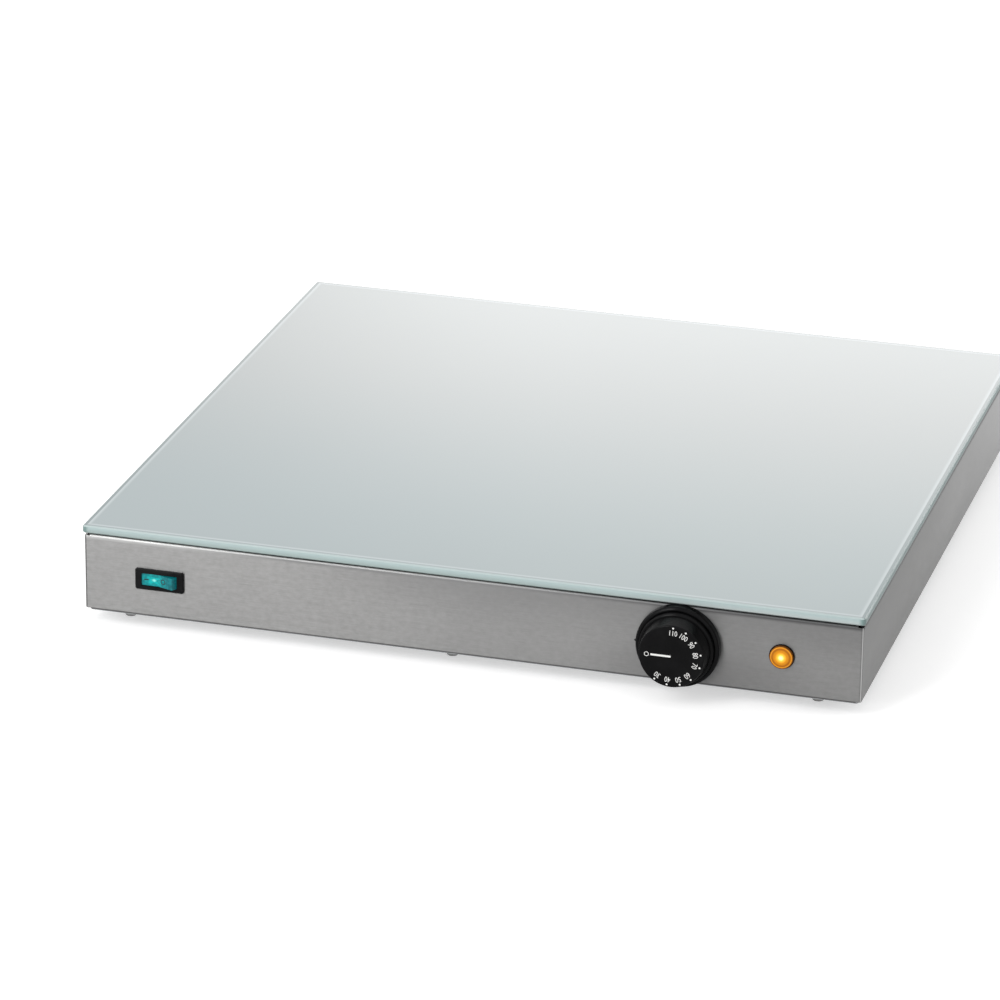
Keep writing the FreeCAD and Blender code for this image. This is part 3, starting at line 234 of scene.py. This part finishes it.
def enamelled_glass():
    """Clear plate over a pale enamel: cool top with painted reflection and glint, painted arris
    highlight, green edge that darkens downward.
    """
    paint = Paint("enamelled_glass")
    x, y, z = paint.axes()
    middle_y = (glass_low.y + glass_high.y) / 2
    half_x = (glass_high.x - glass_low.x) / 2
    half_y = (glass_high.y - glass_low.y) / 2
    inside_x = paint.math("SUBTRACT", half_x, paint.math("ABSOLUTE", x))
    beside_y = paint.math("ABSOLUTE", paint.math("SUBTRACT", y, middle_y))
    inside_y = paint.math("SUBTRACT", half_y, beside_y)
    inside = paint.math("MINIMUM", inside_x, inside_y)
    clouds = paint.noise(paint.place(), 3.0, 2.0)
    # painted reflection: the top lighter towards the right and more neutral towards the back
    near = paint.mix(paint.span(x, -0.20, 0.20), rgb(0.368, 0.428, 0.440),
                     rgb(0.408, 0.468, 0.474))
    top = paint.mix(paint.span(y, -0.20, 0.14), near, rgb(0.420, 0.440, 0.438))
    top = paint.mix(paint.math("MULTIPLY", clouds, 0.25), top, rgb(0.440, 0.490, 0.496))
    bared = paint.span(inside, *bared_strip, 1.0, 0.0)
    beside = paint.span(inside_x, *bared_strip, 0.55, 0.12)
    top = paint.mix(paint.math("MULTIPLY", bared, beside), top, rgb(0.16, 0.21, 0.21))
    # painted glint: a bright line a few millimetres inside the edge
    line = paint.math("SUBTRACT", paint.span(inside, *painted_glint_from),
                      paint.span(inside, *painted_glint_to))
    top = paint.mix(paint.math("MULTIPLY", line, 0.60), top, rgb(0.60, 0.66, 0.67))
    up = paint.span(z, glass_low.z, edge_top)
    streak = paint.noise(paint.place((1.0, 1.0, 12.0)), 160.0)
    # painted light: the lower edge lighter and more neutral towards the right
    foot = paint.mix(paint.span(x, 0.02, 0.20), rgb(0.30, 0.365, 0.35), rgb(0.46, 0.50, 0.495))
    edge = paint.mix(up, foot, rgb(0.41, 0.51, 0.51))
    edge = paint.mix(paint.math("MULTIPLY", streak, 0.30), edge, rgb(0.31, 0.40, 0.39))
    corner = paint.math("ADD", inside_x, inside_y)
    deep = paint.span(corner, *dark_corner, 0.75, 0.0)
    edge = paint.mix(deep, edge, rgb(0.10, 0.19, 0.18))
    nx, _, nz = paint.normal_axes()
    # painted highlight on the arris, where the edge turns upward
    rim = paint.mix(paint.span(nz, 0.2, 0.5), edge, rgb(0.43, 0.51, 0.505))
    # painted shade on the left and right edge faces
    painted_side_shade = paint.span(paint.math("ABSOLUTE", nx), 0.25, 0.6, 0.0, 0.6)
    colour = paint.mix(painted_side_shade, rim, rgb(0.17, 0.23, 0.225))
    colour = paint.mix(paint.span(nz, 0.85, 0.97), colour, top)
    handled = paint.noise(paint.place(), 24.0, 6.0)
    gloss = paint.span(handled, 0.35, 0.75, 0.035, 0.075)
    ground = paint.math("ADD", gloss, paint.span(nz, 0.9, 0.97, 0.42, 0.0))
    wave = paint.noise(paint.place(), 6.0, 1.0)
    return paint.finish(Base_Color=colour, Roughness=ground, IOR=1.52,
                        Normal=paint.bump(wave, 0.02, 0.0006))


def brushed_steel():
    """Sheet brushed along its length, with faint smudges, and painted light and shade on its faces,
    corners and bends.
    """
    paint = Paint("stainless")
    hair = paint.noise(paint.place((46.0, 46.0, 3800.0)), 1.0, 6.0, 0.62)
    mottle = paint.noise(paint.place((1.0, 1.0, 1.6)), 230.0, 4.0, 0.6)
    smudge = paint.noise(paint.place((1.0, 1.0, 2.2)), 9.0, 5.0, 0.6)
    grain = paint.math("MULTIPLY_ADD", hair, 0.6, paint.math("MULTIPLY", mottle, 0.4))
    colour = paint.mix(paint.span(grain, 0.32, 0.68), rgb(0.238, 0.236, 0.233),
                       rgb(0.304, 0.302, 0.299))
    colour = paint.mix(paint.span(smudge, 0.55, 0.78, 0.0, 0.35), colour,
                       rgb(0.222, 0.220, 0.218))
    x, y, z = paint.axes()
    # painted shadow of the knob on the front, strongest towards its lower right
    knob_shadow_distance = distance(paint, knob_shade_centre, knob_shade_stretch)
    colour = paint.mix(paint.span(knob_shadow_distance, *knob_shade_reach, 0.50, 0.0), colour,
                       rgb(0.12, 0.12, 0.12))
    # painted shade over the top part of the faces, stronger towards the right
    high = paint.math("MULTIPLY", paint.span(z, upper_shade_from, casing_high.z),
                      paint.span(x, -0.13, 0.0, 0.0, 0.55))
    painted_upper_shade = paint.mix(grain, rgb(0.13, 0.13, 0.13), rgb(0.20, 0.20, 0.20))
    colour = paint.mix(high, colour, painted_upper_shade)
    # painted shade: darker towards the right
    colour = paint.mix(paint.span(x, -0.08, 0.02, 0.0, 0.30), colour, rgb(0.20, 0.20, 0.20))
    nx, ny, _ = paint.normal_axes()
    # painted light: the right side face lighter towards the back
    painted_right_face_light = paint.math("MULTIPLY", paint.span(y, -0.15, 0.24), paint.span(nx, 0.7, 0.95, 0.0, 0.8))
    colour = paint.mix(painted_right_face_light, colour, rgb(0.36, 0.36, 0.36))
    # painted reflection along the rounded top edge: a highlight at the left, dark towards the right
    painted_bend_reflection = paint.mix(paint.span(x, -0.22, -0.10), rgb(0.38, 0.38, 0.375), rgb(0.19, 0.19, 0.19))
    painted_bend_reflection = paint.mix(paint.span(x, 0.0, 0.20), painted_bend_reflection, rgb(0.085, 0.085, 0.086))
    colour = paint.mix(paint.span(z, *top_bend_reflection_band), colour, painted_bend_reflection)
    # painted highlight on the front right and back left corners, painted shade on the front left
    # and back right corners
    turn = paint.math("MULTIPLY", nx, paint.math("MULTIPLY", ny, -2.0))
    colour = paint.mix(paint.span(turn, 0.84, 0.98, 0.0, 0.75), colour, rgb(0.66, 0.66, 0.655))
    colour = paint.mix(paint.span(turn, -0.4, -0.8, 0.0, 0.8), colour, rgb(0.07, 0.07, 0.07))
    # painted shade along the rounded bottom edge
    painted_lip_shade = paint.span(z, *bottom_lip_shade_band, 0.75, 0.0)
    colour = paint.mix(painted_lip_shade, colour, rgb(0.05, 0.05, 0.05))
    gloss = paint.math("ADD", paint.span(grain, 0.3, 0.7, 0.37, 0.43),
                       paint.span(smudge, 0.4, 0.8, 0.0, 0.10))
    tangent = paint.make("Tangent", {}, direction_type="RADIAL", axis="Z").outputs[0]
    return paint.finish(Base_Color=colour, Metallic=1.0, Roughness=gloss, Anisotropic=0.7,
                        Anisotropic_Rotation=0.25, Tangent=tangent,
                        Normal=paint.bump(hair, 0.10, 0.00005))


def lit_rocker():
    """Clear teal plastic over a neon: facets glitter round a small bright spot."""
    paint = Paint("rocker_teal")
    off = distance(paint, neon_spot, neon_spot_size)
    facets = paint.make("TexVoronoi", {"Vector": paint.place((0.7, 1.0, 1.4)), "Scale": 620.0})
    facet = paint.span(facets.outputs["Distance"], 0.15, 0.75, 1.0, 0.0)
    fine = paint.noise(paint.place(), 420.0, 4.0)
    near = paint.span(off, 0.0, 1.0, 1.0, 0.0)
    glitter = paint.math("MULTIPLY", near, paint.math("MULTIPLY_ADD", facet, 0.7, 0.3))
    heart = paint.span(off, 0.02, 0.17, 1.0, 0.0)
    body = paint.mix(paint.span(fine, 0.35, 0.65), rgb(0.0, 0.085, 0.10), rgb(0.0, 0.15, 0.165))
    body = paint.mix(glitter, body, rgb(0.0, 0.34, 0.33))
    glow = paint.mix(heart, body, rgb(0.42, 1.0, 0.86))
    strength = paint.math("MULTIPLY_ADD", near, 0.42, 0.30)
    return paint.finish(Base_Color=body, Roughness=0.20, IOR=1.36, Emission_Color=glow,
                        Emission_Strength=strength, Normal=paint.bump(fine, 0.10, 0.0002))


def lit_lens():
    """Amber lens: a hot middle, a dark ring where the lens steps, and a brown edge."""
    paint = Paint("lens_amber")
    radius = (lens_high.x - lens_low.x) / 2
    off = distance(paint, (lens_x, lens_z), (radius, radius))
    fine = paint.noise(paint.place(), 700.0)
    colour = rgb(1.0, 0.90, 0.42)
    bands = ((0.05, 0.28, rgb(0.95, 0.48, 0.05)), (0.22, 0.52, rgb(0.62, 0.23, 0.006)),
             (0.60, 0.74, rgb(0.40, 0.12, 0.002)), (0.80, 0.87, rgb(0.78, 0.30, 0.015)),
             (0.90, 0.96, rgb(0.10, 0.03, 0.001)))
    for start, end, tone in bands:
        colour = paint.mix(paint.span(off, start, end), colour, tone)
    colour = paint.mix(paint.math("MULTIPLY", fine, 0.25), colour, rgb(0.45, 0.16, 0.006))
    strength = paint.span(off, 0.1, 0.7, 0.90, 0.10)
    return paint.finish(Base_Color=colour, Roughness=0.22, IOR=1.30, Emission_Color=colour,
                        Emission_Strength=strength, Normal=paint.bump(fine, 0.06, 0.0001))


def moulded_black(name, light, dark, rough):
    """Moulded plastic with a fine spark-eroded texture and a few rubbed places."""
    paint = Paint(name)
    fine = paint.noise(paint.place(), 1800.0, 3.0)
    rubbed = paint.noise(paint.place(), 60.0, 6.0, 0.65)
    colour = paint.mix(paint.span(rubbed, 0.35, 0.7), dark, light)
    gloss = paint.span(rubbed, 0.3, 0.75, rough[0], rough[1])
    return paint.finish(Base_Color=colour, Roughness=gloss, IOR=1.18,
                        Normal=paint.bump(fine, 0.16, 0.00006))


def floor_paint():
    """White with the object's shadow from above, and clear from below."""
    paint = Paint("floor_white")
    grain = paint.noise(paint.place(), 40.0)
    colour = paint.mix(grain, rgb(0.80, 0.80, 0.80), rgb(0.82, 0.82, 0.82))
    matte = paint.make("BsdfDiffuse", {"Color": colour}).outputs[0]
    path = paint.make("LightPath", {}).outputs
    mirrored = paint.math("MAXIMUM", path["Is Glossy Ray"], path["Is Transmission Ray"])
    fill = paint.math("MULTIPLY_ADD", path["Is Camera Ray"], floor_seen,
                      paint.math("MULTIPLY", mirrored, floor_mirrored))
    white = paint.make("Emission", {"Color": rgb(1.0, 1.0, 1.0), "Strength": fill}).outputs[0]
    both = paint.make("AddShader", {0: matte, 1: white})
    under = paint.make("NewGeometry", {}).outputs["Backfacing"]
    clear = paint.make("BsdfTransparent", {}).outputs[0]
    whole = paint.make("MixShader", {0: under, 1: both.outputs[0], 2: clear})
    paint.links.new(whole.outputs[0], paint.output.inputs["Surface"])
    return paint.material


paints = {
    "enamelled_glass": enamelled_glass(),
    "stainless": brushed_steel(),
    "silicone": plain("silicone", rgb(0.060, 0.062, 0.064), rgb(0.040, 0.042, 0.044),
                      (0.55, 0.7), 700.0),
    "zinc_sheet": plain("zinc_sheet", rgb(0.46, 0.47, 0.48), rgb(0.36, 0.37, 0.385),
                        (0.36, 0.52), 90.0, 0.08, 1.0),
    "screw_steel": plain("screw_steel", rgb(0.30, 0.30, 0.295), rgb(0.19, 0.19, 0.19),
                         (0.24, 0.38), 600.0, 0.1, 1.0),
    "rubber_black": plain("rubber_black", rgb(0.034, 0.034, 0.035), rgb(0.020, 0.020, 0.021),
                          (0.62, 0.82), 800.0, 0.25),
    "spreader_aluminium": plain("spreader_aluminium", rgb(0.66, 0.665, 0.67),
                                rgb(0.55, 0.555, 0.56), (0.3, 0.42), 1.0, 0.1, 1.0,
                                (500.0, 4.0, 4.0)),
    "silicone_red": plain("silicone_red", rgb(0.42, 0.075, 0.045), rgb(0.33, 0.055, 0.035),
                          (0.5, 0.66), 500.0, 0.2),
    "mineral_board": plain("mineral_board", rgb(0.70, 0.68, 0.60), rgb(0.56, 0.53, 0.45),
                           (0.8, 0.95), 260.0, 0.7, depth=0.0006),
    "dial_black": moulded_black("dial_black", rgb(0.006, 0.006, 0.0064),
                                rgb(0.003, 0.003, 0.0033), (0.18, 0.28)),
    "switch_black": moulded_black("switch_black", rgb(0.009, 0.009, 0.0095),
                                  rgb(0.005, 0.005, 0.0055), (0.24, 0.36)),
    "rocker_teal": lit_rocker(),
    "neon_glass": plain("neon_glass", rgb(0.80, 0.42, 0.20), rgb(0.70, 0.34, 0.15),
                        (0.05, 0.12), 900.0, 0.05),
    "lens_amber": lit_lens(),
    "stat_cream": plain("stat_cream", rgb(0.72, 0.68, 0.56), rgb(0.62, 0.58, 0.46),
                        (0.4, 0.55), 500.0, 0.1),
    "copper": plain("copper", rgb(0.72, 0.34, 0.20), rgb(0.55, 0.25, 0.15), (0.26, 0.42),
                    400.0, 0.08, 1.0),
    "tab_brass": plain("tab_brass", rgb(0.74, 0.60, 0.33), rgb(0.62, 0.48, 0.25),
                       (0.24, 0.4), 500.0, 0.08, 1.0),
    "nylon_clear": plain("nylon_clear", rgb(0.74, 0.74, 0.70), rgb(0.64, 0.64, 0.59),
                         (0.3, 0.45), 600.0, 0.1),
    "gland_grey": plain("gland_grey", rgb(0.19, 0.20, 0.21), rgb(0.15, 0.16, 0.17),
                        (0.42, 0.56), 700.0, 0.2),
    "wire_brown": plain("wire_brown", rgb(0.16, 0.07, 0.035), rgb(0.12, 0.05, 0.025),
                        (0.42, 0.56), 500.0),
    "wire_blue": plain("wire_blue", rgb(0.045, 0.13, 0.42), rgb(0.035, 0.10, 0.33),
                       (0.42, 0.56), 500.0),
    "wire_white": plain("wire_white", rgb(0.76, 0.76, 0.74), rgb(0.66, 0.66, 0.64),
                        (0.42, 0.56), 500.0),
    "wire_green": plain("wire_green", rgb(0.13, 0.36, 0.07), rgb(0.10, 0.28, 0.05),
                        (0.42, 0.56), 500.0),
}
for row in frame["record"]["subparts"]:
    slots = nodes[row["node"]].data.materials
    slots.clear()
    slots.append(paints[row["material_slot"]])

print_dark = plain("print_dark", rgb(0.004, 0.050, 0.056), rgb(0.002, 0.035, 0.040), (0.4, 0.55),
                   1500.0, 0.05)
print_white = plain("print_white", rgb(0.86, 0.86, 0.84), rgb(0.74, 0.74, 0.72), (0.45, 0.6),
                    1500.0, 0.05)


def ring_points(radius):
    angles = [2 * math.pi * i / ring_steps for i in range(ring_steps)]
    return [(radius * math.cos(angle), radius * math.sin(angle)) for angle in angles]


def flat_ring(mesh, centre, outer, line):
    """A flat ring, or a disc where line is nought, as (x, z) faces."""
    outside = [mesh.verts.new((centre[0] + x, 0, centre[1] + z)) for x, z in ring_points(outer)]
    if not line:
        mesh.faces.new(outside)
        return
    inside = [mesh.verts.new((centre[0] + x, 0, centre[1] + z))
              for x, z in ring_points(outer - line)]
    for i in range(len(outside)):
        j = (i + 1) % len(outside)
        mesh.faces.new((outside[i], outside[j], inside[j], inside[i]))


def flat_bar(mesh, x0, x1, z0, z1):
    """A bar along x, in steps so that it can follow a bent face."""
    marks = [x0 + (x1 - x0) * i / bar_steps for i in range(bar_steps + 1)]
    low = [mesh.verts.new((x, 0, z0)) for x in marks]
    high = [mesh.verts.new((x, 0, z1)) for x in marks]
    for i in range(bar_steps):
        mesh.faces.new((low[i], low[i + 1], high[i + 1], high[i]))


def number(mesh, words, angle):
    """Adds the words' faces on the dial at that angle, with their tops towards the rim."""
    curve = bpy.data.curves.new("number", "FONT")
    curve.body = words
    curve.size = dial_text_size
    curve.align_x = "CENTER"
    curve.align_y = "CENTER"
    curve.resolution_u = text_steps
    held = bpy.data.objects.new("number", curve)
    bpy.context.scene.collection.objects.link(held)
    bpy.context.view_layer.update()
    shaped = held.evaluated_get(bpy.context.evaluated_depsgraph_get())
    flat = bpy.data.meshes.new_from_object(shaped)
    turn = Matrix.Rotation(math.pi / 2, 4, "X") @ Matrix.Diagonal((dial_text_narrow, 1, 1, 1))
    spin = Matrix.Rotation(math.radians(90 - angle), 4, "Y")
    out = Matrix.Translation((0, 0, dial_text_radius))
    shift = Matrix.Translation((knob_x, 0, knob_z))
    flat.transform(shift @ spin @ out @ turn)
    mesh.from_mesh(flat)
    bpy.data.objects.remove(held)
    bpy.data.meshes.remove(flat)


def printed(name, mesh, target, body, paint):
    """Lays a flat pattern on the front of a CAD node and gives it a little thickness."""
    shape = nodes[target].data
    tree = BVHTree.FromPolygons([v.co for v in shape.vertices],
                                [p.vertices for p in shape.polygons])
    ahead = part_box(target)[0].y - ray_start
    bmesh.ops.remove_doubles(mesh, verts=mesh.verts, dist=same_place)
    bmesh.ops.triangulate(mesh, faces=mesh.faces)
    for vertex in mesh.verts:
        start = Vector((vertex.co.x, ahead, vertex.co.z))
        met = tree.ray_cast(start, Vector((0, 1, 0)))[0]
        vertex.co.y = met.y - print_gap
    bmesh.ops.recalc_face_normals(mesh, faces=mesh.faces)
    made = bmesh.ops.extrude_face_region(mesh, geom=list(mesh.faces))
    for part in made["geom"]:
        if isinstance(part, bmesh.types.BMVert):
            part.co.y -= print_height
    bmesh.ops.recalc_face_normals(mesh, faces=mesh.faces)
    data = bpy.data.meshes.new(name)
    mesh.to_mesh(data)
    mesh.free()
    data.materials.append(paint)
    piece = bpy.data.objects.new(name, data)
    bpy.context.scene.collection.objects.link(piece)
    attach(piece, body)


dial = bmesh.new()
for value, angle in dial_marks:
    dot = (knob_x + dial_dots_radius * math.cos(math.radians(angle)),
           knob_z + dial_dots_radius * math.sin(math.radians(angle)))
    flat_ring(dial, dot, dial_dot_size, 0)
    number(dial, str(value), angle)
flat_ring(dial, (knob_x - dial_off_radius, knob_z), dial_off_size, dial_off_line)
flat_bar(dial, knob_x + dial_bar_from, knob_x + dial_bar_to, knob_z - dial_bar_half,
         knob_z + dial_bar_half)
printed("dial_print", dial, "knob", "dial", print_white)

dash = bmesh.new()
dash_x = rocker_x + rocker_dash_x
flat_bar(dash, dash_x - rocker_dash[0], dash_x + rocker_dash[0], rocker_z - rocker_dash[1],
         rocker_z + rocker_dash[1])
printed("rocker_mark_on", dash, "switch_rocker", "rocker", print_dark)
ring = bmesh.new()
flat_ring(ring, (rocker_x + rocker_ring_x, rocker_z), rocker_ring[0], rocker_ring[1])
printed("rocker_mark_off", ring, "switch_rocker", "rocker", print_dark)

# Floor
floor_mesh = bpy.data.meshes.new("floor")
floor_corners = [(floor_reach * x, floor_reach * y, floor_level)
                 for x, y in ((-1, -1), (1, -1), (1, 1), (-1, 1))]
floor_mesh.from_pydata(floor_corners, [], [(0, 1, 2, 3)])
floor = bpy.data.objects.new("floor", floor_mesh)
floor_mesh.materials.append(floor_paint())
bpy.context.scene.collection.objects.link(floor)


def softbox(name, place, target, width, height, power):
    """A lit rectangle at place that faces target, and doesn't show itself."""
    light = bpy.data.lights.new(name, "AREA")
    light.shape = "RECTANGLE"
    light.size = width
    light.size_y = height
    light.energy = power
    lamp = bpy.data.objects.new(name, light)
    lamp.location = place
    lamp.rotation_euler = (Vector(target) - Vector(place)).to_track_quat("-Z", "Y").to_euler()
    lamp.visible_camera = False
    bpy.context.scene.collection.objects.link(lamp)
    return light


softbox("key", (-1.35, -2.3, 2.2), (-0.2, -0.2, 0.03), 1.1, 1.6, key_power)
softbox("low", (-0.95, -2.75, 0.75), (-0.2, -0.24, 0.035), 0.45, 0.5, low_power)
softbox("side", (1.5, 2.7, 0.8), (0.25, 0.0, 0.035), 0.5, 0.6, side_power)
softbox("strip", (-2.4, -0.9, 1.1), (0.0, -0.2, 0.035), 0.3, 1.3, strip_power)
panel = softbox("back_panel", (0.0, 2.0, 0.60), (0.0, 0.0, 0.60), 2.6, 1.2, panel_power)

# The back panel fades towards two of its sides
panel.use_nodes = True
panel_nodes = panel.node_tree.nodes
panel_links = panel.node_tree.links
panel_point = panel_nodes.new("ShaderNodeNewGeometry")
panel_split = panel_nodes.new("ShaderNodeSeparateXYZ")
panel_links.new(panel_point.outputs["Parametric"], panel_split.inputs[0])
both_fades = panel_nodes.new("ShaderNodeMath")
both_fades.operation = "MULTIPLY"
for axis, (nought, full) in enumerate(panel_fades):
    fade = panel_nodes.new("ShaderNodeMapRange")
    fade.interpolation_type = "SMOOTHSTEP"
    fade.inputs["From Min"].default_value = nought
    fade.inputs["From Max"].default_value = full
    panel_links.new(panel_split.outputs[axis], fade.inputs["Value"])
    panel_links.new(fade.outputs[0], both_fades.inputs[axis])
panel_links.new(both_fades.outputs[0], panel_nodes["Emission"].inputs["Strength"])

# World: white to the eye and in reflections, softer as a light
world = bpy.data.worlds.new("studio")
bpy.context.scene.world = world
world.use_nodes = True
world_nodes = world.node_tree.nodes
world_links = world.node_tree.links
background = world_nodes["Background"]
background.inputs["Color"].default_value = rgb(1.0, 1.0, 1.0)
path = world_nodes.new("ShaderNodeLightPath")
seen = path.outputs["Is Camera Ray"]
for kind in ("Is Glossy Ray", "Is Transmission Ray"):
    either = world_nodes.new("ShaderNodeMath")
    either.operation = "MAXIMUM"
    world_links.new(seen, either.inputs[0])
    world_links.new(path.outputs[kind], either.inputs[1])
    seen = either.outputs[0]
level = world_nodes.new("ShaderNodeMapRange")
level.inputs["To Min"].default_value = ambient_level
level.inputs["To Max"].default_value = 1.0
world_links.new(seen, level.inputs["Value"])
world_links.new(level.outputs[0], background.inputs["Strength"])
bpy.context.scene.view_settings.view_transform = "Standard"

# Camera
camera_data = bpy.data.cameras.new("camera")
camera_data.lens = camera_lens
camera_data.sensor_width = camera_sensor
camera_data.clip_start, camera_data.clip_end = camera_clip
camera = bpy.data.objects.new("camera", camera_data)
bpy.context.scene.collection.objects.link(camera)
behind = camera_right.cross(camera_up)
turned = Matrix((camera_right, camera_up, behind)).transposed().to_4x4()
camera.matrix_world = Matrix.Translation(camera_place) @ turned
bpy.context.scene.camera = camera
